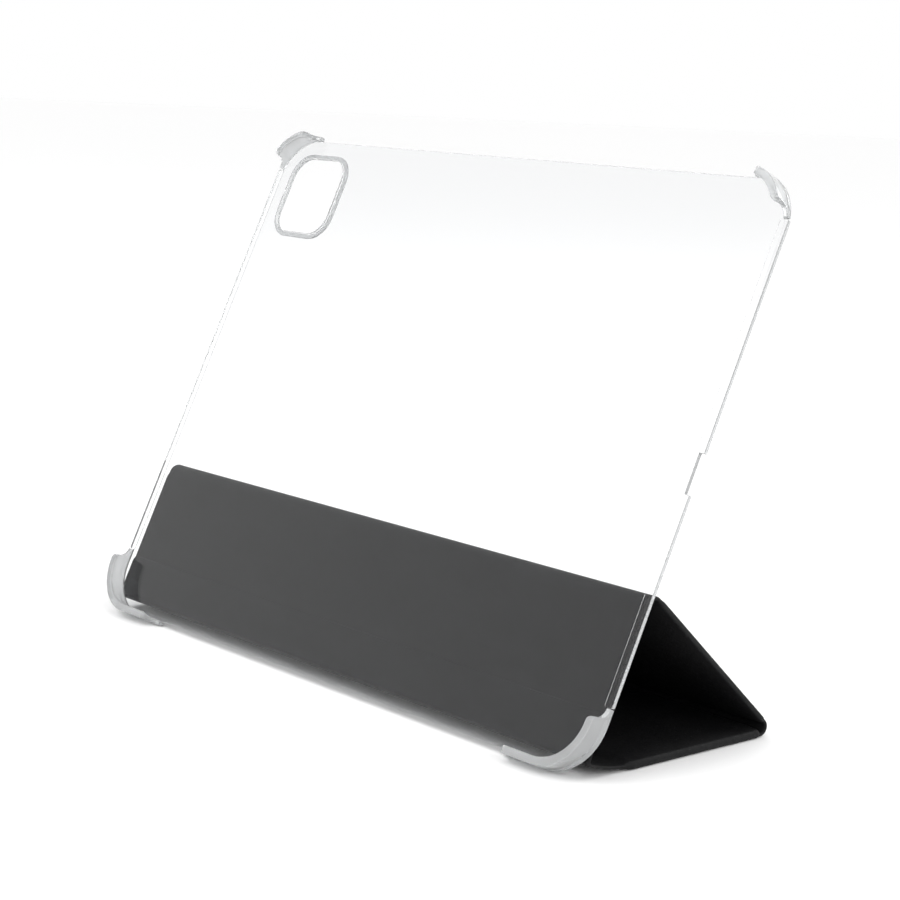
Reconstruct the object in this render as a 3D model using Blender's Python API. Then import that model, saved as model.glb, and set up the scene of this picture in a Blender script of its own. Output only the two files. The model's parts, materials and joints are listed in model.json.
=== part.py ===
"""Folding stand case for a 12.9 inch tablet: clear shell, corner bumpers and a three-panel cover.

The case stands on a table: +X runs along the long side, +Y to the rear and +Z up.
The origin is the centre of the footprint's bounding box, at table level.
"""
import math

import bmesh
import bpy
from mathutils import Matrix, Vector

MM = 0.001

# Tablet pocket, from the tablet's published outline
POCKET_WIDTH = 281.2 * MM
POCKET_HEIGHT = 215.5 * MM
POCKET_DEPTH = 6.6 * MM
POCKET_CORNER = 18.3 * MM

# Clear shell
PLATE_THICKNESS = 1.3 * MM
WALL = 1.7 * MM
LIP_REACH = 1.3 * MM
LIP_THICKNESS = 0.9 * MM
GAP = 0.3 * MM
SHELL_HEIGHT = POCKET_HEIGHT + 2 * WALL
SHELL_WIDTH = POCKET_WIDTH + 2 * WALL
SHELL_DEPTH = PLATE_THICKNESS + POCKET_DEPTH + LIP_THICKNESS
RAIL_HEIGHT = 1.6 * MM
RAIL_ROOT = 1.5 * MM
RAIL_INSET = 0.1 * MM
RAIL_BACK = 0.05 * MM
RAIL_CORNER = 0.8 * MM
PORT_NOTCH = 15.0 * MM
NOTCH_ROOT = 0.2 * MM
CUT_REACH = 5.0 * MM
FOOT_LIFT = 0.186 * MM

# Bumper lengths from the shell's outer corner: along the long side, then along the short side
TOP_BUMPER = (21.0 * MM, 16.0 * MM)
BOTTOM_BUMPER = (39.0 * MM, 26.0 * MM)
FILLET_RUN = 4.0 * MM
CROWN_RUN = 2.0 * MM
FILLET_SHARE = 0.62
RAMP_STEPS = 4
BUMPER_MIDDLE_STEPS = 14
BUMPER_END_HEIGHT = RAIL_HEIGHT + 0.6 * MM
BUMPER_EDGE_ROUND = 0.45 * MM
LIP_START = 0.55
LIP_LEAST = 0.02
LIP_DEPTH_SHARE = 0.45

# Camera window, near one top corner
CAMERA_SIZE = 34.0 * MM
CAMERA_CORNER = 9.0 * MM
CAMERA_EDGE = 26.5 * MM
GUARD_WIDTH = 2.0 * MM
GUARD_HEIGHT = 0.9 * MM

# Standing pose, angles in degrees
LEAN = 24.45
PROP_SLOPE = 41.1

# Cover
COVER_WIDTH = 280.0 * MM
PANEL_THICKNESS = 2.4 * MM
BASE_EXTRA = 1.2 * MM
SKIN_THICKNESS = 0.5 * MM
LINING_THICKNESS = 0.5 * MM
BOARD_THICKNESS = 0.9 * MM
HEM_WIDTH = 1.3 * MM
WEB_THICKNESS = 0.6 * MM
PANEL_END_GAP = 0.7 * MM
WEB_END_GAP = 0.5 * MM
ANCHOR_GAP = 0.3 * MM
ANCHOR_BOTTOM = 6.2 * MM
ANCHOR_TOP = 24.0 * MM
SPINE_BACK_LENGTH = 7.0 * MM
SPINE_EDGE_LENGTH = 11.0 * MM
SPINE_BACK_DROP = 18.5
REAR_WEB_LENGTH = 4.0 * MM
TOP_WEB_LENGTH = 5.0 * MM
TOP_FOLD_HEIGHT = 62.8 * MM
REST_PANEL_LENGTH = 51.5 * MM
COVER_SETBACK = 1.0 * MM
ANCHOR_CORNER = 2.5 * MM
PANEL_CORNER = 3.0 * MM
INNER_CORNER = 0.4 * MM
FREE_CORNER = 9.0 * MM

# Magnets inside the cover boards
MAGNET_RADIUS = 4.0 * MM
MAGNET_THICKNESS = 0.8 * MM
MAGNET_COUNT = 4
MAGNET_PITCH = 72.0 * MM
MAGNET_INSET = 9.0 * MM
WAKE_MAGNET_X = -96.0 * MM

# Distance from the shell's lower edge to the middle of the footprint
FOOTPRINT_SHIFT = 42.61 * MM

LEAN_RAD = math.radians(LEAN)


def clear_scene():
    for old in list(bpy.data.objects):
        bpy.data.objects.remove(old, do_unlink=True)


def make_collection(name):
    collection = bpy.data.collections.new(name)
    bpy.context.scene.collection.children.link(collection)
    return collection


clear_scene()
PARTS = make_collection("tablet_case")
CUTTERS = make_collection("cutters")


def make_material(name, colour, roughness, metallic=0.0, alpha=1.0):
    material = bpy.data.materials.new(name)
    material.use_nodes = True
    shader = material.node_tree.nodes["Principled BSDF"]
    shader.inputs["Base Color"].default_value = (*colour, 1.0)
    shader.inputs["Roughness"].default_value = roughness
    shader.inputs["Metallic"].default_value = metallic
    shader.inputs["Alpha"].default_value = alpha
    return material


CLEAR_HARD = make_material("clear_hard", (0.93, 0.95, 0.96), 0.08, alpha=0.25)
CLEAR_SOFT = make_material("clear_soft", (0.90, 0.92, 0.93), 0.25, alpha=0.35)
LEATHER = make_material("leather", (0.018, 0.018, 0.019), 0.55)
LINING = make_material("lining", (0.030, 0.030, 0.032), 0.90)
BOARD = make_material("board", (0.45, 0.42, 0.37), 0.80)
MAGNET = make_material("magnet", (0.60, 0.60, 0.62), 0.30, metallic=1.0)


def link_mesh(name, mesh, material, parent):
    part = bpy.data.objects.new(name, mesh)
    PARTS.objects.link(part)
    part.data.materials.clear()
    part.data.materials.append(material)
    part.parent = parent
    return part


def make_empty(name, location, tilt):
    """An empty turned by tilt radians about X."""
    empty = bpy.data.objects.new(name, None)
    PARTS.objects.link(empty)
    empty.location = location
    empty.rotation_euler = (tilt, 0.0, 0.0)
    return empty


def rounded_slab(name, low, high, axis, radius, corners=None, segments=8):
    """A box whose edges along axis are rounded; corners picks them by a test on the edge's middle."""
    centre = [(a + b) / 2 for a, b in zip(low, high)]
    size = [b - a for a, b in zip(low, high)]
    bm = bmesh.new()
    bmesh.ops.create_cube(bm, size=1.0)
    bmesh.ops.scale(bm, vec=size, verts=bm.verts)
    bmesh.ops.translate(bm, vec=centre, verts=bm.verts)
    picked = []
    for edge in bm.edges:
        run = edge.verts[1].co - edge.verts[0].co
        middle = (edge.verts[1].co + edge.verts[0].co) / 2
        along = abs(run[axis]) > 0.99 * run.length
        if along and (corners is None or corners(middle)):
            picked.append(edge)
    if radius > 0 and picked:
        bmesh.ops.bevel(
            bm, geom=picked, offset=radius, segments=segments, profile=0.5, affect="EDGES"
        )
    mesh = bpy.data.meshes.new(name)
    bm.to_mesh(mesh)
    bm.free()
    return mesh


def add_slab(name, low, high, axis, radius, material, parent, corners=None, segments=8):
    mesh = rounded_slab(name, low, high, axis, radius, corners, segments)
    return link_mesh(name, mesh, material, parent)


def make_cutter(name, mesh, parent):
    cutter = bpy.data.objects.new(name, mesh)
    CUTTERS.objects.link(cutter)
    cutter.parent = parent
    cutter.hide_render = True
    cutter.display_type = "WIRE"
    return cutter


def use_boolean(part, cutter, operation="DIFFERENCE"):
    modifier = part.modifiers.new(operation.lower() + "_" + cutter.name, "BOOLEAN")
    modifier.operation = operation
    modifier.solver = "EXACT"
    modifier.object = cutter


# ---------------------------------------------------------------- shell
# Shell frame: X along the long side, Y towards the rear with 0 on the outer back face,
# Z up the shell with 0 at its lower outer edge.
SHELL = make_empty("shell_frame", (0.0, -FOOTPRINT_SHIFT, -FOOT_LIFT), -LEAN_RAD)
HALF_WIDTH = SHELL_WIDTH / 2
PLATE_HALF_WIDTH = POCKET_WIDTH / 2 - GAP
PLATE_LOW = WALL + GAP
PLATE_HIGH = SHELL_HEIGHT - WALL - GAP
MID_HEIGHT = SHELL_HEIGHT / 2


def camera_window(name, margin, depth_low, depth_high):
    """A rounded square around the camera window, grown by margin on every side."""
    half = CAMERA_SIZE / 2 + margin
    centre_x = -HALF_WIDTH + CAMERA_EDGE
    centre_z = SHELL_HEIGHT - CAMERA_EDGE
    low = (centre_x - half, depth_low, centre_z - half)
    high = (centre_x + half, depth_high, centre_z + half)
    return rounded_slab(name, low, high, 1, CAMERA_CORNER + margin, segments=6)


def build_plate():
    low = (-PLATE_HALF_WIDTH, -PLATE_THICKNESS, PLATE_LOW)
    high = (PLATE_HALF_WIDTH, 0.0, PLATE_HIGH)
    corner = POCKET_CORNER - GAP
    plate = add_slab("back_plate", low, high, 1, corner, CLEAR_HARD, SHELL, segments=10)
    rail_low = BOTTOM_BUMPER[1] + GAP
    rail_high = SHELL_HEIGHT - TOP_BUMPER[1] - GAP
    for side in (-1, 1):
        inner = side * (PLATE_HALF_WIDTH - RAIL_ROOT)
        outer = side * (HALF_WIDTH - RAIL_INSET)
        box_low = (min(inner, outer), -RAIL_HEIGHT, rail_low)
        box_high = (max(inner, outer), -RAIL_BACK, rail_high)
        mesh = rounded_slab("rail", box_low, box_high, 1, RAIL_CORNER, segments=3)
        use_boolean(plate, make_cutter("rail_form_%d" % side, mesh, SHELL), "UNION")
    notch_low = (PLATE_HALF_WIDTH - NOTCH_ROOT, -CUT_REACH, MID_HEIGHT - PORT_NOTCH / 2)
    notch_high = (HALF_WIDTH + CUT_REACH, CUT_REACH, MID_HEIGHT + PORT_NOTCH / 2)
    notch = rounded_slab("notch", notch_low, notch_high, 1, 0.0)
    use_boolean(plate, make_cutter("port_notch", notch, SHELL))
    window = camera_window("window", 0.0, -CUT_REACH, CUT_REACH)
    use_boolean(plate, make_cutter("camera_window", window, SHELL))
    return plate


def build_camera_guard():
    ring = camera_window("camera_guard", GUARD_WIDTH, GAP, GAP + GUARD_HEIGHT)
    guard = link_mesh("camera_guard", ring, CLEAR_SOFT, SHELL)
    hole = camera_window("guard_hole", 0.0, -CUT_REACH, CUT_REACH)
    use_boolean(guard, make_cutter("guard_hole", hole, SHELL))
    return guard


def ramp_stations():
    """(distance from a bumper's end, rise from 0 to 1): a hollow fillet, then a crown."""
    stations = []
    for step in range(RAMP_STEPS + 1):
        angle = math.pi / 2 * step / RAMP_STEPS
        stations.append((FILLET_RUN * math.sin(angle), FILLET_SHARE * (1 - math.cos(angle))))
    for step in range(1, RAMP_STEPS + 1):
        angle = math.pi / 2 * step / RAMP_STEPS
        distance = FILLET_RUN + CROWN_RUN * (1 - math.cos(angle))
        stations.append((distance, FILLET_SHARE + (1 - FILLET_SHARE) * math.sin(angle)))
    return stations


def corner_path(long_run, short_run):
    """Places round one corner of the pocket, each with its outward direction and its rise.

    The corner points to +X and +Z of the pocket's middle, and the path starts on the long side.
    A run that is shorter than the corner's radius ends on the arc.
    """
    half_w = POCKET_WIDTH / 2
    half_h = POCKET_HEIGHT / 2
    centre = Vector((half_w - POCKET_CORNER, half_h - POCKET_CORNER))
    reach = POCKET_CORNER + WALL
    long_straight = max(long_run - reach, 0.0)
    short_straight = max(short_run - reach, 0.0)
    first_angle = math.acos(max(reach - long_run, 0.0) / POCKET_CORNER)
    last_angle = math.asin(max(reach - short_run, 0.0) / POCKET_CORNER)
    arc = POCKET_CORNER * (first_angle - last_angle)
    total = long_straight + arc + short_straight

    ramp = ramp_stations()
    ramp_length = ramp[-1][0]
    middle = total - 2 * ramp_length
    stations = list(ramp)
    for step in range(1, BUMPER_MIDDLE_STEPS):
        stations.append((ramp_length + middle * step / BUMPER_MIDDLE_STEPS, 1.0))
    stations += [(total - distance, rise) for distance, rise in reversed(ramp)]

    path = []
    for travel, rise in stations:
        if travel < long_straight:
            outward = Vector((0.0, 1.0))
            place = Vector((centre.x - long_straight + travel, half_h))
        elif travel <= long_straight + arc:
            angle = first_angle - (travel - long_straight) / POCKET_CORNER
            outward = Vector((math.cos(angle), math.sin(angle)))
            place = centre + outward * POCKET_CORNER
        else:
            outward = Vector((1.0, 0.0))
            place = Vector((half_w, centre.y - (travel - long_straight - arc)))
        path.append((place, outward, rise))
    return path


def bumper_section(rise):
    """Outline of the bumper wall as (outward, depth) pairs, for a rise from 0 at an end to 1."""
    top = -BUMPER_END_HEIGHT - (SHELL_DEPTH - BUMPER_END_HEIGHT) * rise
    lip = LIP_REACH * max(rise - LIP_START, LIP_LEAST) / (1 - LIP_START)
    soft = BUMPER_EDGE_ROUND
    under = top + min(LIP_THICKNESS, LIP_DEPTH_SHARE * -top)
    return [
        (0.0, 0.0),
        (WALL - soft, 0.0),
        (WALL, -soft),
        (WALL, top + soft),
        (WALL - soft, top),
        (-lip + soft / 2, top),
        (-lip, top + soft / 2),
        (-lip, under),
        (0.0, under),
    ]


def build_bumper(name, mirror_x, mirror_z, runs):
    path = corner_path(*runs)
    bm = bmesh.new()
    rings = []
    for point, outward, rise in path:
        ring = []
        for out, depth in bumper_section(rise):
            place = point + outward * out
            x = place.x * mirror_x
            z = place.y * mirror_z + MID_HEIGHT
            ring.append(bm.verts.new((x, depth, z)))
        rings.append(ring)
    for before, after in zip(rings, rings[1:]):
        for index in range(len(before)):
            following = (index + 1) % len(before)
            bm.faces.new((before[index], before[following], after[following], after[index]))
    bm.faces.new(rings[0])
    bm.faces.new(list(reversed(rings[-1])))
    bmesh.ops.recalc_face_normals(bm, faces=bm.faces)
    mesh = bpy.data.meshes.new(name)
    bm.to_mesh(mesh)
    bm.free()
    bumper = link_mesh(name, mesh, CLEAR_SOFT, SHELL)
    bumper.data.shade_smooth()
    bumper.data.set_sharp_from_angle(angle=math.radians(40))
    return bumper


def build_shell():
    build_plate()
    build_camera_guard()
    build_bumper("bumper_top_left", -1, 1, TOP_BUMPER)
    build_bumper("bumper_top_right", 1, 1, TOP_BUMPER)
    build_bumper("bumper_bottom_left", -1, -1, BOTTOM_BUMPER)
    build_bumper("bumper_bottom_right", 1, -1, BOTTOM_BUMPER)
    half = COVER_WIDTH / 2 - COVER_SETBACK
    low = (-half, ANCHOR_GAP, ANCHOR_BOTTOM + WEB_END_GAP)
    high = (half, ANCHOR_GAP + WEB_THICKNESS, ANCHOR_TOP)
    add_slab("anchor_strip", low, high, 1, ANCHOR_CORNER, LEATHER, SHELL, segments=3)


# ---------------------------------------------------------------- cover
def turn(degrees):
    """Direction in the side view: 0 points to the rear, 90 points up."""
    angle = math.radians(degrees)
    return Vector((0.0, math.cos(angle), math.sin(angle)))


def shell_point(depth, height):
    return SHELL.location + Matrix.Rotation(-LEAN_RAD, 3, "X") @ Vector((0.0, depth, height))


def cover_layout():
    """Each hinge line's place and each strip's direction, from the spine to the free edge."""
    level = PANEL_THICKNESS / 2
    anchor = shell_point(ANCHOR_GAP + WEB_THICKNESS / 2, ANCHOR_BOTTOM)
    bend = anchor + turn(-SPINE_BACK_DROP) * SPINE_BACK_LENGTH
    edge_drop = math.degrees(math.asin((bend.z - level) / SPINE_EDGE_LENGTH))
    base_front = bend + turn(-edge_drop) * SPINE_EDGE_LENGTH
    rest_direction = 270.0 - LEAN
    prop_direction = 180.0 - PROP_SLOPE
    rest_depth = ANCHOR_GAP + WEB_THICKNESS + ANCHOR_GAP + PANEL_THICKNESS / 2
    rest_top = shell_point(rest_depth, TOP_FOLD_HEIGHT)
    top_web_direction = (rest_direction + prop_direction) / 2
    prop_top = rest_top - turn(top_web_direction) * TOP_WEB_LENGTH
    rear_web_direction = prop_direction / 2
    rear_web_rise = turn(rear_web_direction) * REAR_WEB_LENGTH
    prop_length = (prop_top.z - level - rear_web_rise.z) / math.sin(math.radians(PROP_SLOPE))
    prop_bottom = prop_top - turn(prop_direction) * prop_length
    base_rear = prop_bottom - rear_web_rise
    return {
        "spine_back": (anchor, -SPINE_BACK_DROP, SPINE_BACK_LENGTH),
        "spine_edge": (bend, -edge_drop, SPINE_EDGE_LENGTH),
        "base": (base_front, 0.0, (base_rear - base_front).length),
        "rear_web": (base_rear, rear_web_direction, REAR_WEB_LENGTH),
        "prop": (prop_bottom, prop_direction, prop_length),
        "top_web": (prop_top, top_web_direction, TOP_WEB_LENGTH),
        "rest": (rest_top, rest_direction, REST_PANEL_LENGTH),
    }


LAYOUT = cover_layout()


def strip_frame(key):
    start, direction, length = LAYOUT[key]
    return make_empty(key + "_frame", start, math.radians(direction)), length


def build_web(name, key, width):
    """A plain flexible strip between two hinge lines."""
    frame, length = strip_frame(key)
    half = width / 2
    low = (-half, WEB_END_GAP, -WEB_THICKNESS / 2)
    high = (half, length - WEB_END_GAP, WEB_THICKNESS / 2)
    add_slab(name, low, high, 2, 0.0, LEATHER, frame)


def add_magnet(name, place, parent):
    bm = bmesh.new()
    bmesh.ops.create_cone(
        bm,
        cap_ends=True,
        segments=16,
        radius1=MAGNET_RADIUS,
        radius2=MAGNET_RADIUS,
        depth=MAGNET_THICKNESS,
        matrix=Matrix.Translation(place),
    )
    mesh = bpy.data.meshes.new(name)
    bm.to_mesh(mesh)
    bm.free()
    return link_mesh(name, mesh, MAGNET, parent)


def magnet_pockets(board, name, places, parent):
    """Round holes through the board, one gap wider than the magnets."""
    bm = bmesh.new()
    for place in places:
        bmesh.ops.create_cone(
            bm,
            cap_ends=True,
            segments=16,
            radius1=MAGNET_RADIUS + GAP,
            radius2=MAGNET_RADIUS + GAP,
            depth=4 * PANEL_THICKNESS,
            matrix=Matrix.Translation(place),
        )
    mesh = bpy.data.meshes.new(name)
    bm.to_mesh(mesh)
    bm.free()
    use_boolean(board, make_cutter(name, mesh, parent))


def build_panel(name, key, corner, corner_test, magnet_places=(), extra=0.0):
    """One stiff panel: a leather tray, a board inside it and a lining let into its back.

    extra thickens the board, and moves the leather face out by as much.
    """
    frame, length = strip_frame(key)
    half = COVER_WIDTH / 2
    near = PANEL_END_GAP
    far = length - (0.0 if key == "rest" else PANEL_END_GAP)
    lining_face = -PANEL_THICKNESS / 2
    leather_face = PANEL_THICKNESS / 2 + extra
    low = (-half, near, lining_face)
    high = (half, far, leather_face)
    skin = add_slab(name + "_skin", low, high, 2, corner, LEATHER, frame, corner_test)
    inner_corner = max(corner - HEM_WIDTH, INNER_CORNER)
    well_low = (-half + HEM_WIDTH, near + HEM_WIDTH, 2 * lining_face)
    well_high = (half - HEM_WIDTH, far - HEM_WIDTH, leather_face - SKIN_THICKNESS)
    well = rounded_slab("well", well_low, well_high, 2, inner_corner, corner_test, 6)
    use_boolean(skin, make_cutter(name + "_well", well, frame))

    inset = HEM_WIDTH + GAP
    fill_corner = max(corner - inset, INNER_CORNER)
    board_low = (-half + inset, near + inset, -BOARD_THICKNESS / 2)
    board_high = (half - inset, far - inset, BOARD_THICKNESS / 2 + extra)
    board = add_slab(
        name + "_board", board_low, board_high, 2, fill_corner, BOARD, frame, corner_test, 6
    )
    lining_low = (-half + inset, near + inset, lining_face)
    lining_high = (half - inset, far - inset, lining_face + LINING_THICKNESS)
    add_slab(
        name + "_lining", lining_low, lining_high, 2, fill_corner, LINING, frame, corner_test, 6
    )
    if magnet_places:
        for number, place in enumerate(magnet_places, start=1):
            add_magnet("%s_magnet_%d" % (name, number), place, frame)
        magnet_pockets(board, name + "_pockets", magnet_places, frame)


def magnet_row(distance):
    first = -MAGNET_PITCH * (MAGNET_COUNT - 1) / 2
    return [Vector((first + MAGNET_PITCH * i, distance, 0.0)) for i in range(MAGNET_COUNT)]


def build_cover():
    width = COVER_WIDTH - 2 * COVER_SETBACK
    build_web("spine_back_strip", "spine_back", width)
    build_web("spine_edge_strip", "spine_edge", width)
    build_web("rear_fold_web", "rear_web", width)
    build_web("top_fold_web", "top_web", width)
    base_length = LAYOUT["base"][2]
    prop_length = LAYOUT["prop"][2]
    rest_length = LAYOUT["rest"][2]
    near_end = MAGNET_INSET
    far_end = rest_length - MAGNET_INSET
    front_corners = lambda m: m.y < base_length / 2
    free_corners = lambda m: m.y > rest_length / 2
    build_panel("base", "base", PANEL_CORNER, front_corners, magnet_row(near_end), BASE_EXTRA)
    wake = [Vector((WAKE_MAGNET_X, prop_length - 2 * MAGNET_INSET, 0.0))]
    build_panel("prop", "prop", 0.0, None, wake)
    build_panel("rest", "rest", FREE_CORNER, free_corners, magnet_row(far_end))


build_shell()
build_cover()
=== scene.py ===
"""Looks of the folding tablet case: clear shell and bumpers, leather cover, microfibre lining."""
import json
import math

import bmesh
import bpy
from mathutils import Matrix, Vector


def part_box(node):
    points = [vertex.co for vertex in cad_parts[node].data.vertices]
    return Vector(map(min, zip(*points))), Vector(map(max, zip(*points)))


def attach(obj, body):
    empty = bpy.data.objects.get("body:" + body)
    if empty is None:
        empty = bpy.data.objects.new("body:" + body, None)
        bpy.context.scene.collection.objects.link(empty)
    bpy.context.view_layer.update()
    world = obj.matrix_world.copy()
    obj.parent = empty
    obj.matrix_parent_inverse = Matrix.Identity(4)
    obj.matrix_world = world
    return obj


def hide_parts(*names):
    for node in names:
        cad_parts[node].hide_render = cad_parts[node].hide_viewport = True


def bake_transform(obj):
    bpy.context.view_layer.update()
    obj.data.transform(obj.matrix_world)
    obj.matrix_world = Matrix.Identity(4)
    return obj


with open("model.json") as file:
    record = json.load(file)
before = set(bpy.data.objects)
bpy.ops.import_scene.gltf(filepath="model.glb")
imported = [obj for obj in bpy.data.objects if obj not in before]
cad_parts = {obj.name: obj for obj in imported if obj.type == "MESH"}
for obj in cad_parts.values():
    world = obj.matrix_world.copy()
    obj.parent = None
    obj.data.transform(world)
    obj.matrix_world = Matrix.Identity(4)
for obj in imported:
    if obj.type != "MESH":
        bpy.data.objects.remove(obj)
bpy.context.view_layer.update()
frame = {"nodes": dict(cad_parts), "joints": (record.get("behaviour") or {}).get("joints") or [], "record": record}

MM = 0.001

# ---------------------------------------------------------------- places read from the frame
HINGE = {joint["name"]: Vector(joint["pos_m"]) for joint in frame["joints"]}
SEAT = next(m for m in frame["record"]["mounts"] if m["name"] == "tablet_seat")
FRONT = Vector(SEAT["axis"]).normalized()
REAR = -FRONT
UP_SHELL = Vector((0.0, FRONT.z, -FRONT.y))

PLATE = 1.3 * MM
WALL = 1.7 * MM
POCKET_WIDTH = 281.2 * MM
POCKET_HEIGHT = 215.5 * MM
POCKET_CORNER = 18.3 * MM
LIP_REACH = 1.3 * MM
LIP_THICKNESS = 0.9 * MM
RAIL_HEIGHT = 1.6 * MM
SHELL_DEPTH = 8.8 * MM
SHELL_HEIGHT = POCKET_HEIGHT + 2 * WALL
MID_HEIGHT = SHELL_HEIGHT / 2


def shell_point(x, depth, height):
    """A place in the shell: depth 0 is its outer back face and grows to the rear."""
    seat = Vector(SEAT["pos_m"])
    offset = REAR * (depth + PLATE) + UP_SHELL * (height - MID_HEIGHT)
    return seat + offset + Vector((x, 0.0, 0.0))


# ---------------------------------------------------------------- materials
def new_material(name, colour, roughness):
    material = bpy.data.materials.new(name)
    material.use_nodes = True
    nodes = material.node_tree.nodes
    shader = nodes["Principled BSDF"]
    shader.inputs["Base Color"].default_value = (*colour, 1.0)
    shader.inputs["Roughness"].default_value = roughness
    return material, nodes, material.node_tree.links, shader


def object_coordinates(nodes, links, scale):
    coordinates = nodes.new("ShaderNodeTexCoord")
    mapping = nodes.new("ShaderNodeMapping")
    mapping.inputs["Scale"].default_value = scale
    links.new(coordinates.outputs["Object"], mapping.inputs["Vector"])
    return mapping.outputs["Vector"]


def noise_texture(nodes, links, vector, scale, detail=4.0, roughness=0.55):
    texture = nodes.new("ShaderNodeTexNoise")
    texture.inputs["Scale"].default_value = scale
    texture.inputs["Detail"].default_value = detail
    texture.inputs["Roughness"].default_value = roughness
    links.new(vector, texture.inputs["Vector"])
    return texture.outputs["Fac"]


def voronoi(nodes, links, vector, scale):
    texture = nodes.new("ShaderNodeTexVoronoi")
    texture.inputs["Scale"].default_value = scale
    links.new(vector, texture.inputs["Vector"])
    return texture.outputs["Distance"]


def ramp(nodes, links, value, stops):
    """A colour ramp from (place, grey or colour) stops."""
    node = nodes.new("ShaderNodeValToRGB")
    elements = node.color_ramp.elements
    while len(elements) < len(stops):
        elements.new(0.5)
    for element, (place, colour) in zip(elements, stops):
        element.position = place
        rgb = (colour, colour, colour) if isinstance(colour, float) else colour
        element.color = (*rgb, 1.0)
    links.new(value, node.inputs["Fac"])
    return node.outputs["Color"]


def bump(nodes, links, height, strength, distance, normal=None):
    node = nodes.new("ShaderNodeBump")
    node.inputs["Strength"].default_value = strength
    node.inputs["Distance"].default_value = distance
    links.new(height, node.inputs["Height"])
    if normal is not None:
        links.new(normal, node.inputs["Normal"])
    return node.outputs["Normal"]


def clear_plastic(name, tint, clearness, roughness, ior, ripple):
    """Clear plastic, a little milky, with faint moulding ripple and fine handling marks."""
    material, nodes, links, shader = new_material(name, tint, roughness)
    shader.inputs["Transmission Weight"].default_value = clearness
    shader.inputs["IOR"].default_value = ior
    vector = object_coordinates(nodes, links, (1.0, 1.0, 1.0))
    waves = noise_texture(nodes, links, vector, 55.0, 2.0)
    haze = noise_texture(nodes, links, vector, 240.0, 5.0)
    rough = ramp(nodes, links, haze, [(0.35, roughness), (0.75, roughness * 1.9)])
    links.new(rough, shader.inputs["Roughness"])
    links.new(bump(nodes, links, waves, ripple, 0.2 * MM), shader.inputs["Normal"])
    return material


def leather_material():
    """Black coated leather: pebbled grain with fine pores, a little worn on its high spots."""
    material, nodes, links, shader = new_material("leather_grain", (0.006, 0.006, 0.007), 0.65)
    shader.inputs["Specular IOR Level"].default_value = 0.22
    vector = object_coordinates(nodes, links, (1.0, 1.0, 1.0))
    pebbles = voronoi(nodes, links, vector, 1150.0)
    creases = noise_texture(nodes, links, vector, 420.0, 6.0, 0.6)
    cloud = noise_texture(nodes, links, vector, 35.0, 3.0)
    colour = ramp(
        nodes, links, cloud, [(0.3, (0.0035, 0.0035, 0.004)), (0.75, (0.008, 0.008, 0.0085))]
    )
    links.new(colour, shader.inputs["Base Color"])
    gloss = ramp(nodes, links, creases, [(0.3, 0.56), (0.7, 0.74)])
    links.new(gloss, shader.inputs["Roughness"])
    first = bump(nodes, links, creases, 0.35, 0.15 * MM)
    links.new(bump(nodes, links, pebbles, 0.5, 0.12 * MM, first), shader.inputs["Normal"])
    return material


def lining_material():
    """Dark microfibre with a short brushed nap."""
    material, nodes, links, shader = new_material("microfibre", (0.022, 0.022, 0.024), 0.92)
    shader.inputs["Sheen Weight"].default_value = 0.08
    shader.inputs["Specular IOR Level"].default_value = 0.15
    shader.inputs["Sheen Roughness"].default_value = 0.45
    vector = object_coordinates(nodes, links, (1.0, 1.0, 1.0))
    streaks = object_coordinates(nodes, links, (1.0, 3.0, 3.0))
    nap = noise_texture(nodes, links, vector, 900.0, 4.0, 0.7)
    brushed = noise_texture(nodes, links, streaks, 90.0, 4.0)
    colour = ramp(
        nodes, links, brushed, [(0.3, (0.007, 0.007, 0.008)), (0.7, (0.014, 0.014, 0.0155))]
    )
    links.new(colour, shader.inputs["Base Color"])
    links.new(bump(nodes, links, nap, 0.35, 0.10 * MM), shader.inputs["Normal"])
    return material


def board_material():
    """Grey-brown fibre board."""
    material, nodes, links, shader = new_material("fibre_board", (0.40, 0.36, 0.30), 0.85)
    vector = object_coordinates(nodes, links, (1.0, 4.0, 4.0))
    fibres = noise_texture(nodes, links, vector, 300.0, 6.0, 0.7)
    colour = ramp(nodes, links, fibres, [(0.3, (0.30, 0.27, 0.22)), (0.7, (0.46, 0.42, 0.36))])
    links.new(colour, shader.inputs["Base Color"])
    links.new(bump(nodes, links, fibres, 0.3, 0.1 * MM), shader.inputs["Normal"])
    return material


def magnet_material():
    """Bright nickel plating with faint pitting."""
    material, nodes, links, shader = new_material("nickel", (0.62, 0.61, 0.59), 0.22)
    shader.inputs["Metallic"].default_value = 1.0
    vector = object_coordinates(nodes, links, (1.0, 1.0, 1.0))
    pits = noise_texture(nodes, links, vector, 900.0, 4.0)
    links.new(ramp(nodes, links, pits, [(0.3, 0.16), (0.8, 0.34)]), shader.inputs["Roughness"])
    return material


CLEAR_HARD = clear_plastic("clear_polycarbonate", (0.94, 0.945, 0.95), 1.0, 0.02, 1.36, 0.02)
CLEAR_SOFT = clear_plastic("clear_soft_plastic", (0.74, 0.75, 0.755), 0.68, 0.07, 1.44, 0.06)
CLEAR_EDGE = clear_plastic("clear_moulded_edge", (0.78, 0.79, 0.795), 0.55, 0.20, 1.40, 0.02)
LEATHER = leather_material()
LINING = lining_material()
BOARD = board_material()
NICKEL = magnet_material()


# ---------------------------------------------------------------- mesh helpers
SHARP_DEFAULT = 35.0
SHARP_PLATE = 12.0
SHARP_BUMPER = 50.0
SHARP_COVER = 48.0


def link_mesh(name, bm, material, sharp_degrees=SHARP_DEFAULT):
    bmesh.ops.recalc_face_normals(bm, faces=bm.faces)
    mesh = bpy.data.meshes.new(name)
    bm.to_mesh(mesh)
    bm.free()
    mesh.materials.append(material)
    mesh.shade_smooth()
    mesh.set_sharp_from_angle(angle=math.radians(sharp_degrees))
    piece = bpy.data.objects.new(name, mesh)
    bpy.context.scene.collection.objects.link(piece)
    return piece


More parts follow.
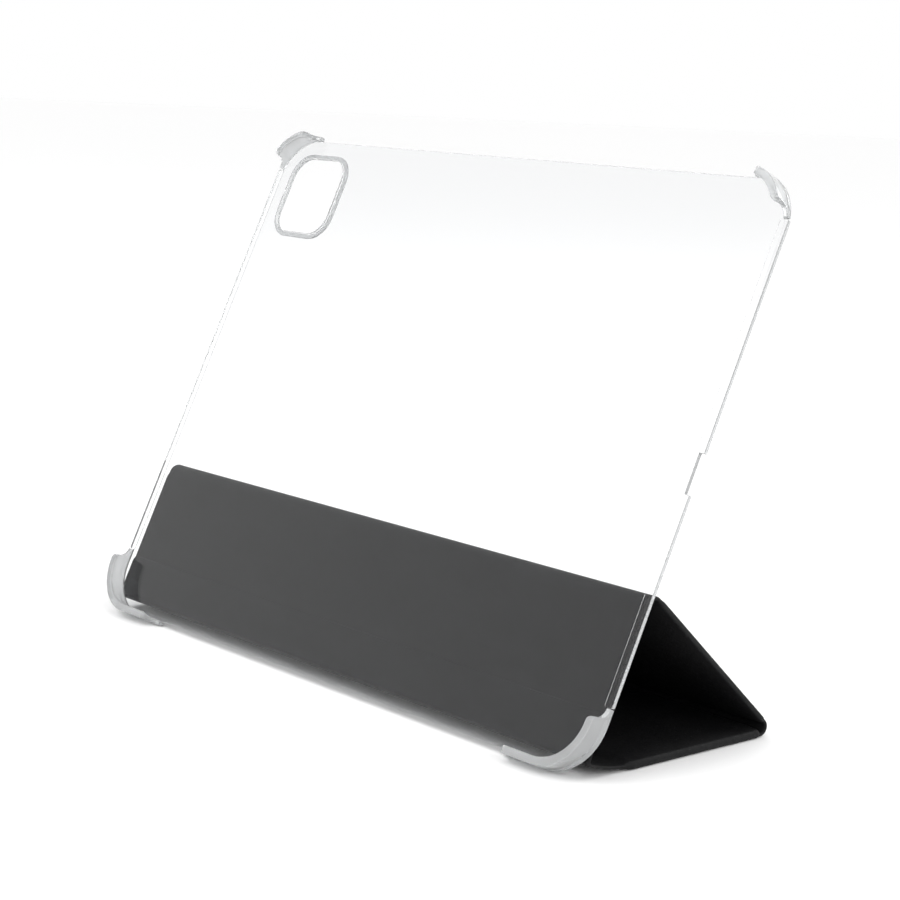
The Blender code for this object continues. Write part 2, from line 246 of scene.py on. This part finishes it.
def loft(name, rings, material, sharp_degrees=SHARP_DEFAULT):
    """A closed solid through rings of points, with a face over each end."""
    bm = bmesh.new()
    loops = [[bm.verts.new(point) for point in ring] for ring in rings]
    for before, after in zip(loops, loops[1:]):
        for index in range(len(before)):
            following = (index + 1) % len(before)
            bm.faces.new((before[index], before[following], after[following], after[index]))
    bm.faces.new(loops[0])
    bm.faces.new(list(reversed(loops[-1])))
    return link_mesh(name, bm, material, sharp_degrees)


def smooth_step(value):
    value = min(max(value, 0.0), 1.0)
    return value * value * (3.0 - 2.0 * value)


def arc_points(centre, radius, first, last, steps):
    """Points of an arc in a plane, angles in degrees."""
    found = []
    for step in range(steps + 1):
        angle = math.radians(first + (last - first) * step / steps)
        found.append((centre[0] + radius * math.cos(angle), centre[1] + radius * math.sin(angle)))
    return found


# ---------------------------------------------------------------- clear shell
EDGE_ROUND = 0.25 * MM
GUARD_ROUND = 0.3 * MM
EDGE_FACING = 0.9
DOUBLES = 0.002 * MM
FLAT_DEGREES = 0.6
BEVEL_DEGREES = 40.0
BEVEL_SEGMENTS = 3
SOFT_ROUND = 0.45 * MM
BUMPER_RUNS = {"top": (21.0 * MM, 16.0 * MM), "bottom": (39.0 * MM, 26.0 * MM)}
FILLET_RUN = 4.0 * MM
CROWN_RUN = 2.0 * MM
FILLET_SHARE = 0.62
BUMPER_END_EXTRA = 0.6 * MM
BUMPER_MIDDLE_STEPS = 40
# Sections near a bumper's end, in mm from it: close together where the hollow meets the wall
BUMPER_END_MARKS = (
    0.0, 0.15, 0.4, 0.8, 1.3, 1.8, 2.3, 2.8, 3.2, 3.5, 3.7, 3.85, 3.95, 4.0,
    4.02, 4.08, 4.18, 4.35, 4.6, 4.9, 5.3, 5.7, 6.0, 6.6,
)
LIP_START = 0.55
LIP_LEAST = 0.02
LIP_SHARE = 0.45
LIP_TIP = 0.22 * MM
SEAM_GROOVE = 0.10 * MM
SEAM_HALF_WIDTH = 0.20 * MM
SEAM_PLACE = 0.30


def rounded_copy(node, name, material, width, edge_material=None):
    """The CAD node's own shape with its hard edges rounded off, its thin sides slightly frosted."""
    bm = bmesh.new()
    bm.from_mesh(frame["nodes"][node].data)
    bmesh.ops.remove_doubles(bm, verts=bm.verts, dist=DOUBLES)
    bmesh.ops.dissolve_limit(
        bm,
        angle_limit=math.radians(FLAT_DEGREES),
        verts=bm.verts,
        edges=bm.edges,
        use_dissolve_boundaries=False,
    )
    bm.normal_update()
    if edge_material:
        for face in bm.faces:
            face.material_index = int(abs(face.normal.dot(FRONT)) < EDGE_FACING)
    piece = link_mesh(name, bm, material, SHARP_PLATE)
    if edge_material:
        piece.data.materials.append(edge_material)
    modifier = piece.modifiers.new("edges", "BEVEL")
    modifier.width = width
    modifier.segments = BEVEL_SEGMENTS
    modifier.limit_method = "ANGLE"
    modifier.angle_limit = math.radians(BEVEL_DEGREES)
    modifier.harden_normals = True
    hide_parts(node)
    return piece


def bumper_path(long_run, short_run):
    """Places round the pocket's corner as (place, outward, distance to the nearer end)."""
    half_w = POCKET_WIDTH / 2
    half_h = POCKET_HEIGHT / 2
    centre = Vector((half_w - POCKET_CORNER, half_h - POCKET_CORNER))
    reach = POCKET_CORNER + WALL
    long_straight = max(long_run - reach, 0.0)
    short_straight = max(short_run - reach, 0.0)
    first = math.acos(max(reach - long_run, 0.0) / POCKET_CORNER)
    last = math.asin(max(reach - short_run, 0.0) / POCKET_CORNER)
    arc = POCKET_CORNER * (first - last)
    total = long_straight + arc + short_straight
    near = [value * MM for value in BUMPER_END_MARKS]
    steps = BUMPER_MIDDLE_STEPS
    inner = [near[-1] + (total - 2 * near[-1]) * i / steps for i in range(1, steps)]
    places = near + inner + [total - value for value in reversed(near)]
    found = []
    for travel in places:
        if travel < long_straight:
            place = Vector((centre.x - long_straight + travel, half_h))
            outward = Vector((0.0, 1.0))
        elif travel <= long_straight + arc:
            angle = first - (travel - long_straight) / POCKET_CORNER
            outward = Vector((math.cos(angle), math.sin(angle)))
            place = centre + outward * POCKET_CORNER
        else:
            place = Vector((half_w, centre.y - (travel - long_straight - arc)))
            outward = Vector((1.0, 0.0))
        found.append((place, outward, min(travel, total - travel)))
    return found


def bumper_rise(to_end):
    """0 at the rail, 1 at full depth: a hollow fillet, a steep wall and a small crown."""
    if to_end < FILLET_RUN:
        return FILLET_SHARE * (1.0 - math.sqrt(1.0 - (to_end / FILLET_RUN) ** 2))
    share = min((to_end - FILLET_RUN) / CROWN_RUN, 1.0)
    return FILLET_SHARE + (1.0 - FILLET_SHARE) * math.sqrt(1.0 - (1.0 - share) ** 2)


def bumper_outline(rise):
    """The wall's rounded outline as (outward, depth): a soft outer corner, a bead and the lip."""
    low = RAIL_HEIGHT + BUMPER_END_EXTRA
    top = -low - (SHELL_DEPTH - low) * rise
    lip = LIP_REACH * max(rise - LIP_START, LIP_LEAST) / LIP_SHARE
    under = top + min(LIP_THICKNESS, LIP_SHARE * -top)
    soft = min(SOFT_ROUND, -0.2 * top)
    crown = 0.75 * soft
    tip = min(LIP_TIP, LIP_SHARE * (under - top))
    seam = SEAM_GROOVE * smooth_step(rise * 4.0)
    seam_depth = -SEAM_PLACE * SHELL_DEPTH * (0.25 + 0.75 * smooth_step(rise * 2.0))
    seam_depth = max(seam_depth, 0.6 * top)
    outline = [(0.0, 0.0)]
    outline += arc_points((WALL - soft, -soft), soft, 90.0, 0.0, 6)
    outline += [
        (WALL, seam_depth + SEAM_HALF_WIDTH),
        (WALL - seam, seam_depth),
        (WALL, seam_depth - SEAM_HALF_WIDTH),
    ]
    outline += arc_points((WALL - crown, top + crown), crown, 0.0, -90.0, 6)
    outline += arc_points((-lip + tip, top + tip), tip, -90.0, -180.0, 4)
    outline += [(-lip, under), (0.0, under)]
    return outline


def make_bumper(node, mirror_x, mirror_z, runs):
    rings = []
    for place, outward, to_end in bumper_path(*runs):
        ring = []
        for out, depth in bumper_outline(bumper_rise(to_end)):
            spot = place + outward * out
            ring.append(shell_point(spot.x * mirror_x, depth, spot.y * mirror_z + MID_HEIGHT))
        rings.append(ring)
    piece = loft(node + "_moulded", rings, CLEAR_SOFT, SHARP_BUMPER)
    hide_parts(node)
    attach(piece, "shell")


def make_shell():
    plate = rounded_copy("back_plate", "back_plate_moulded", CLEAR_HARD, EDGE_ROUND, CLEAR_EDGE)
    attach(plate, "shell")
    guard = rounded_copy("camera_guard", "camera_guard_moulded", CLEAR_SOFT, GUARD_ROUND)
    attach(guard, "shell")
    make_bumper("bumper_top_left", -1, 1, BUMPER_RUNS["top"])
    make_bumper("bumper_top_right", 1, 1, BUMPER_RUNS["top"])
    make_bumper("bumper_bottom_left", -1, -1, BUMPER_RUNS["bottom"])
    make_bumper("bumper_bottom_right", 1, -1, BUMPER_RUNS["bottom"])


# ---------------------------------------------------------------- cover
HALF_PANEL = 1.2 * MM
BASE_EXTRA = 1.2 * MM
SKIN = 0.5 * MM
RIM = 1.5 * MM
HALF_WIDTH = 140.0 * MM
HALF_WAIST = 139.2 * MM
END_ROUND = 1.05 * MM
FREE_CORNER = 9.0 * MM
ANCHOR_CORNER = 2.5 * MM
FOLD_LEATHER = 0.45 * MM
SPINE_LEATHER = 1.0 * MM
ANCHOR_LEATHER = 0.3 * MM
SEAM_REACH = 4.5 * MM
REAR_ARC = 2.7 * MM
TOP_ARC = 3.0 * MM
SWING_ZONE = 1.5 * MM
SPINE_ZONE = 2.4 * MM
FOLD_ZONE_SHARE = 0.97
ANCHOR_OVERLAP = 4.6 * MM
BASE_OVERLAP = 5.0 * MM
# How much of its sides each spine corner's arc takes
SWING_FILLET = 1.7 * MM
BEND_FILLET = 4.8 * MM
FRONT_FILLET = 6.0 * MM
# Sections along a straight stretch, in mm from its ends
STRAIGHT_MARKS = (0.35, 0.7, 1.0, 1.3, 1.6, 2.0, 2.5, 3.0, 3.7, 4.5, 6.0, 9.0, 14.0)
FINE_MARKS = (0.01, 0.04, 0.1, 0.2, 0.5)
HEM_SPAN = 26.0 * MM
# The hem's slope: mm in from the edge, and the share of its drop reached there
HEM_SLOPE = ((7.0, 0.0), (5.2, 0.05), (3.9, 0.30), (2.6, 0.65))
HEM_DROP = 0.13
SKIN_SHARE = 0.42
LINING_SPAN = 20.0 * MM
LINING_GAP = 0.12 * MM


def plane(vector):
    """Side view of a point: (Y, Z)."""
    return Vector((vector.y, vector.z))


def crossing(point_a, direction_a, point_b, direction_b):
    """Where two lines in the side view meet."""
    cross = direction_a.x * direction_b.y - direction_a.y * direction_b.x
    gap = point_b - point_a
    return point_a + direction_a * ((gap.x * direction_b.y - gap.y * direction_b.x) / cross)


def cover_corners():
    """The centre line's corners, each with the length that its arc takes from its sides."""
    swing = plane(HINGE["cover_swing"])
    bend = plane(HINGE["spine_bend"])
    front = plane(HINGE["spine_front_bend"])
    rear_low = plane(HINGE["stand_fold"])
    rear_high = plane(HINGE["rear_fold_bend"])
    top_rear = plane(HINGE["top_fold_bend"])
    top_front = plane(HINGE["rest_panel_bend"])
    down = -plane(UP_SHELL)
    base_way = (rear_low - front).normalized()
    prop_way = (top_rear - rear_high).normalized()
    rear_corner = crossing(rear_low, base_way, rear_high, prop_way)
    top_corner = crossing(top_rear, prop_way, top_front, down)
    _, anchor_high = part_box("anchor_strip")
    anchor_length = (anchor_high.z - swing.y) / -down.y
    rest_low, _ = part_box("rest_skin")
    rest_length = (top_front.y - rest_low.z - HALF_PANEL * abs(down.x)) / -down.y
    return [
        (swing - down * anchor_length, 0.0),
        (swing, SWING_FILLET),
        (bend, BEND_FILLET),
        (front, FRONT_FILLET),
        (rear_corner, (rear_corner - rear_low).length),
        (top_corner, (top_corner - top_front).length),
        (top_front + down * rest_length, 0.0),
    ]


def straight_steps(length, fine_end):
    """Distances along a straight stretch, closer together towards its ends."""
    found = {0.0, length}
    for mark in STRAIGHT_MARKS:
        if mark * MM < length / 2:
            found.add(mark * MM)
            found.add(length - mark * MM)
    if fine_end:
        for mark in FINE_MARKS:
            found.add(length - mark * MM)
    return sorted(found)


def cover_line():
    """Stations as (travel, place, direction angle), and the travel at each corner."""
    corners = cover_corners()
    stations = []
    travel = 0.0
    marks = []
    at = corners[0][0]
    for index in range(1, len(corners)):
        corner, cut = corners[index]
        way = (corner - at).normalized()
        angle = math.atan2(way.y, way.x)
        length = (corner - at).length - cut
        last = index == len(corners) - 1
        for step in straight_steps(length, last or index == 1):
            stations.append((travel + step, at + way * step, angle))
        if index == 1:
            for mark in FINE_MARKS:
                stations.append((travel + mark * MM, at + way * mark * MM, angle))
        travel += length
        if last:
            marks.append(travel)
            break
        onward = (corners[index + 1][0] - corner).normalized()
        turn = math.atan2(
            way.x * onward.y - way.y * onward.x, way.x * onward.x + way.y * onward.y
        )
        radius = cut / math.tan(abs(turn) / 2)
        side = math.copysign(1.0, turn)
        start = corner - way * cut
        centre = start + Vector((-way.y, way.x)) * radius * side
        steps = max(6, 2 * round(abs(math.degrees(turn)) / 10))
        marks.append(travel + radius * abs(turn) / 2)
        for step in range(1, steps):
            share = step / steps
            heading = angle + turn * share
            spoke = Vector((math.sin(heading), -math.cos(heading))) * side
            stations.append(
                (travel + radius * abs(turn) * share, centre + spoke * radius, heading)
            )
        travel += radius * abs(turn)
        at = corner + onward * cut
    stations.sort(key=lambda station: station[0])
    return stations, marks


STATIONS, MARKS = cover_line()
SWING, BEND, EDGE, REAR_FOLD, TOP_FOLD, FREE_END = MARKS


def between(travel, start, end):
    """0 before start, 1 after end, smooth between."""
    return smooth_step((travel - start) / (end - start))


def board_swell(travel):
    """1 where a stiff board is inside, 0 at the folds."""
    value = between(travel, EDGE - 1.0 * MM, EDGE + 3.0 * MM)
    for fold in (REAR_FOLD, TOP_FOLD):
        inner = 3.0 * MM
        outer = 5.6 * MM
        away = abs(travel - fold)
        value *= between(away, inner, outer)
    return value


def base_swell(travel):
    """1 along the base panel, whose board is thicker than the others."""
    start = between(travel, EDGE - 0.6 * MM, EDGE + 1.9 * MM)
    return start * between(REAR_FOLD - travel, 2.9 * MM, 4.5 * MM)


def end_closure(distance, reach):
    """Rounds a free edge off: 0 at the edge, 1 at reach."""
    share = min(max(distance / reach, 0.0), 1.0)
    return math.sqrt(max(1.0 - (1.0 - share) ** 2, 0.0))


def leather_side(travel):
    thicken = between(travel, SWING - 5.0 * MM, SWING - 1.5 * MM)
    anchor = ANCHOR_LEATHER + (SPINE_LEATHER - ANCHOR_LEATHER) * thicken
    if travel < EDGE - 1.0 * MM:
        return anchor
    low = SPINE_LEATHER if travel < EDGE + 10.0 * MM else FOLD_LEATHER
    return low + (HALF_PANEL - low) * board_swell(travel) + BASE_EXTRA * base_swell(travel)


def lining_side(travel):
    spine = 0.28 * MM + 0.14 * MM * between(travel, SWING - 4.0 * MM, SWING)
    edge = 0.18 * MM * between(travel, BEND - 1.0 * MM, BEND + 3.0 * MM)
    base = (HALF_PANEL - 0.60 * MM) * between(travel, EDGE - 1.5 * MM, EDGE + 4.0 * MM)
    return spine + edge + base


def half_width(travel):
    wide = HALF_WAIST + (HALF_WIDTH - HALF_WAIST) * board_swell(travel)
    free = FREE_END - travel
    if free < FREE_CORNER:
        wide -= FREE_CORNER - math.sqrt(FREE_CORNER**2 - (FREE_CORNER - free) ** 2)
    if travel < ANCHOR_CORNER:
        wide -= ANCHOR_CORNER - math.sqrt(ANCHOR_CORNER**2 - (ANCHOR_CORNER - travel) ** 2)
    return wide


def section_sizes(travel):
    """Thickness to the leather side, to the lining side, and half width at one station."""
    closure = end_closure(FREE_END - travel, 1.1 * MM) * end_closure(travel, 0.35 * MM)
    closure = max(closure, 0.06)
    above = leather_side(travel)
    below = lining_side(travel)
    centre = (above - below) / 2
    half = (above + below) / 2 * closure
    return centre + half, half - centre, half_width(travel)


def place_ring(outline, place, heading):
    """Points (x, offset to the leather side) set square to the centre line."""
    normal = Vector((-math.sin(heading), math.cos(heading)))
    ring = []
    for across, offset in outline:
        spot = place + normal * offset
        ring.append(Vector((across, spot.x, spot.y)))
    return ring


def mirrored(right_half):
    left_half = [(-x, n) for x, n in reversed(right_half)]
    return right_half + left_half


def leather_outline(travel):
    """A shallow tray: the skin, a hem that slopes to a round edge, and the rim round the lining."""
    above, below, wide = section_sizes(travel)
    whole = above + below
    drop = HEM_DROP * whole
    middle = (above - drop - below) / 2
    half = (above - drop + below) / 2
    floor = above - min(SKIN, SKIN_SHARE * whole)
    right = [(wide - HEM_SPAN, above)]
    right += [(wide - inset * MM, above - share * drop) for inset, share in HEM_SLOPE]
    for step in range(11):
        angle = math.radians(90.0 - 18.0 * step)
        across = wide - END_ROUND + END_ROUND * math.cos(angle)
        right.append((across, middle + half * math.sin(angle)))
    right += [
        (wide - RIM + 0.08 * MM, -below),
        (wide - RIM, -below + 0.06 * whole),
        (wide - RIM, floor),
        (wide - HEM_SPAN, floor),
    ]
    return mirrored(right)


def lining_outline(travel):
    """The lining, let into the tray, with its face just under the rim."""
    above, below, wide = section_sizes(travel)
    whole = above + below
    low = -below + 0.03 * whole
    swell = board_swell(travel)
    folded_top = above - min(SKIN, SKIN_SHARE * whole) - 0.02 * whole
    high = folded_top + (min(low + 0.45 * MM, folded_top) - folded_top) * swell
    side = wide - RIM - LINING_GAP
    right = [
        (side - LINING_SPAN, high),
        (side, high),
        (side, low + 0.25 * (high - low)),
        (side - 0.15 * MM, low + 0.06 * (high - low)),
        (side - 0.5 * MM, low),
        (side - LINING_SPAN, low),
    ]
    return mirrored(right)


def station_at(travel):
    """The centre line's place and heading at any travel."""
    for before, after in zip(STATIONS, STATIONS[1:]):
        if before[0] <= travel <= after[0]:
            span = max(after[0] - before[0], 1e-12)
            share = (travel - before[0]) / span
            place = before[1].lerp(after[1], share)
            heading_a = before[2]
            heading_b = after[2]
            while heading_b - heading_a > math.pi:
                heading_b -= 2 * math.pi
            while heading_b - heading_a < -math.pi:
                heading_b += 2 * math.pi
            return (travel, place, heading_a + (heading_b - heading_a) * share)
    return STATIONS[-1]


def stretch(start, end):
    """The stations from start to end, both included."""
    inside = [s for s in STATIONS if start + 0.02 * MM < s[0] < end - 0.02 * MM]
    return [station_at(start)] + inside + [station_at(end)]


def cover_piece(name, start, end, bodies, nodes, lining_nodes, zone=None):
    """One stretch of the cover, as a leather tray and its lining."""
    run = stretch(start, end)
    made = []
    for suffix, outline, material, slot, stood_for in (
        ("_leather", leather_outline, LEATHER, "leather", nodes),
        ("_lining", lining_outline, LINING, "lining", lining_nodes),
    ):
        rings = [place_ring(outline(t), place, heading) for t, place, heading in run]
        piece = loft(name + suffix, rings, material, SHARP_COVER)
        if stood_for:
            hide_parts(*stood_for)
        if zone is None:
            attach(piece, bodies[0])
        else:
            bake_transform(piece)
        made.append(piece)
    return made


def side_point(travel):
    _, place, _ = station_at(travel)
    return Vector((0.0, place.x, place.y))


def spine_piece(name, start, end, bodies, nodes, corner, reach):
    """A stretch of the spine that bends about one corner of the centre line."""
    zone = (side_point(corner - reach), side_point(corner + reach))
    cover_piece(name, start, end, bodies, nodes, [], zone)


def fold_pieces(names, marks, bodies, hinges, web):
    """The two halves of a fold, meeting at the middle of the fold's bend."""
    start, corner, end = marks
    low, high = (HINGE[hinge] for hinge in hinges)
    middle = (low + high) / 2
    zone = (low, low.lerp(middle, FOLD_ZONE_SHARE))
    cover_piece(names[0], start, corner, bodies[:2], [web], [], zone)
    zone = (high.lerp(middle, FOLD_ZONE_SHARE), high)
    cover_piece(names[1], corner, end, bodies[1:], [], [], zone)


def make_cover():
    anchor_seam = SWING - ANCHOR_OVERLAP
    back_seam = (SWING + BEND) / 2
    edge_seam = (BEND + EDGE) / 2
    base_start = EDGE + BASE_OVERLAP
    base_end = REAR_FOLD - REAR_ARC - SEAM_REACH
    prop_start = REAR_FOLD + REAR_ARC + SEAM_REACH
    prop_end = TOP_FOLD - TOP_ARC - SEAM_REACH
    rest_start = TOP_FOLD + TOP_ARC + SEAM_REACH

    cover_piece("anchor", 0.0, anchor_seam, ["shell"], ["anchor_strip"], [])
    bodies = ["shell", "spine_back"]
    spine_piece("spine_start", anchor_seam, back_seam, bodies, [], SWING, SWING_ZONE)
    bodies = ["spine_back", "spine_edge"]
    nodes = ["spine_back_strip"]
    spine_piece("spine_middle", back_seam, edge_seam, bodies, nodes, BEND, SPINE_ZONE)
    bodies = ["spine_edge", "base_panel"]
    nodes = ["spine_edge_strip"]
    spine_piece("spine_end", edge_seam, base_start, bodies, nodes, EDGE, SPINE_ZONE)
    cover_piece("base_panel", base_start, base_end, ["base_panel"], ["base_skin"], ["base_lining"])
    fold_pieces(
        ("rear_fold_low", "rear_fold_high"),
        (base_end, REAR_FOLD, prop_start),
        ["base_panel", "rear_fold", "prop_panel"],
        ("stand_fold", "rear_fold_bend"),
        "rear_fold_web",
    )
    cover_piece("prop_panel", prop_start, prop_end, ["prop_panel"], ["prop_skin"], ["prop_lining"])
    fold_pieces(
        ("top_fold_rear", "top_fold_front"),
        (prop_end, TOP_FOLD, rest_start),
        ["prop_panel", "top_fold", "rest_panel"],
        ("top_fold_bend", "rest_panel_bend"),
        "top_fold_web",
    )
    cover_piece("rest_panel", rest_start, FREE_END, ["rest_panel"], ["rest_skin"], ["rest_lining"])


def finish_inner_nodes():
    """Boards and magnets keep their CAD shape."""
    for name, node in frame["nodes"].items():
        if name.endswith("_board"):
            material, slot = BOARD, "board"
        elif "_magnet_" in name:
            material, slot = NICKEL, "magnet"
        else:
            continue
        node.data.materials.clear()
        node.data.materials.append(material)


# ---------------------------------------------------------------- studio
FLOOR_RADIUS = 14.0
FLOOR_DROP = 0.2 * MM


def make_floor():
    """A plain white floor that runs far past the view."""
    bm = bmesh.new()
    bmesh.ops.create_circle(bm, cap_ends=True, segments=96, radius=FLOOR_RADIUS)
    material, nodes, links, shader = new_material("studio_floor", (0.985, 0.985, 0.985), 0.8)
    shader.inputs["Specular IOR Level"].default_value = 0.2
    floor = link_mesh("studio_floor", bm, material)
    floor.location.z = -FLOOR_DROP


def add_light(name, place, target, size, power):
    data = bpy.data.lights.new(name, "AREA")
    data.shape = "DISK"
    data.size = size
    data.energy = power
    lamp = bpy.data.objects.new(name, data)
    bpy.context.scene.collection.objects.link(lamp)
    lamp.location = place
    way = Vector(target) - Vector(place)
    lamp.rotation_euler = way.to_track_quat("-Z", "Y").to_euler()


def make_studio():
    make_floor()
    middle = (0.0, 0.0, 0.08)
    add_light("key", (-0.35, -1.6, 1.9), middle, 1.4, 16.0)
    add_light("side", (1.7, -0.3, 0.9), middle, 1.1, 8.0)
    add_light("back", (0.5, 1.7, 1.2), middle, 1.3, 8.0)
    world = bpy.data.worlds.new("studio")
    world.use_nodes = True
    background = world.node_tree.nodes["Background"]
    background.inputs["Color"].default_value = (1.0, 1.0, 1.0, 1.0)
    background.inputs["Strength"].default_value = 1.0
    scene = bpy.context.scene
    scene.world = world
    scene.view_settings.view_transform = "Standard"


LENS = 87.0
GLASS_DEPTH = -7.7 * MM
CAMERA_OFFSET = Vector((617.22, -536.89, 122.32)) * MM
CAMERA_WAY = Vector((-0.7304, 0.6625, -0.1659))
CAMERA_ROLL = math.radians(-2.647)


def make_camera():
    data = bpy.data.cameras.new("camera")
    data.lens = LENS
    data.sensor_width = 36.0
    data.clip_start = 0.01
    data.clip_end = 50.0
    camera = bpy.data.objects.new("camera", data)
    scene = bpy.context.scene
    scene.collection.objects.link(camera)
    way = CAMERA_WAY.normalized()
    side = way.cross(Vector((0.0, 0.0, 1.0))).normalized()
    level_up = side.cross(way)
    up = level_up * math.cos(CAMERA_ROLL) + side * math.sin(CAMERA_ROLL)
    across = way.cross(up)
    turn = Matrix((across, up, -way)).transposed()
    glass = shell_point(0.0, GLASS_DEPTH, MID_HEIGHT)
    camera.matrix_world = Matrix.Translation(glass + CAMERA_OFFSET) @ turn.to_4x4()
    scene.camera = camera


make_camera()
make_shell()
make_cover()
finish_inner_nodes()
make_studio()

bpy.context.view_layer.update()
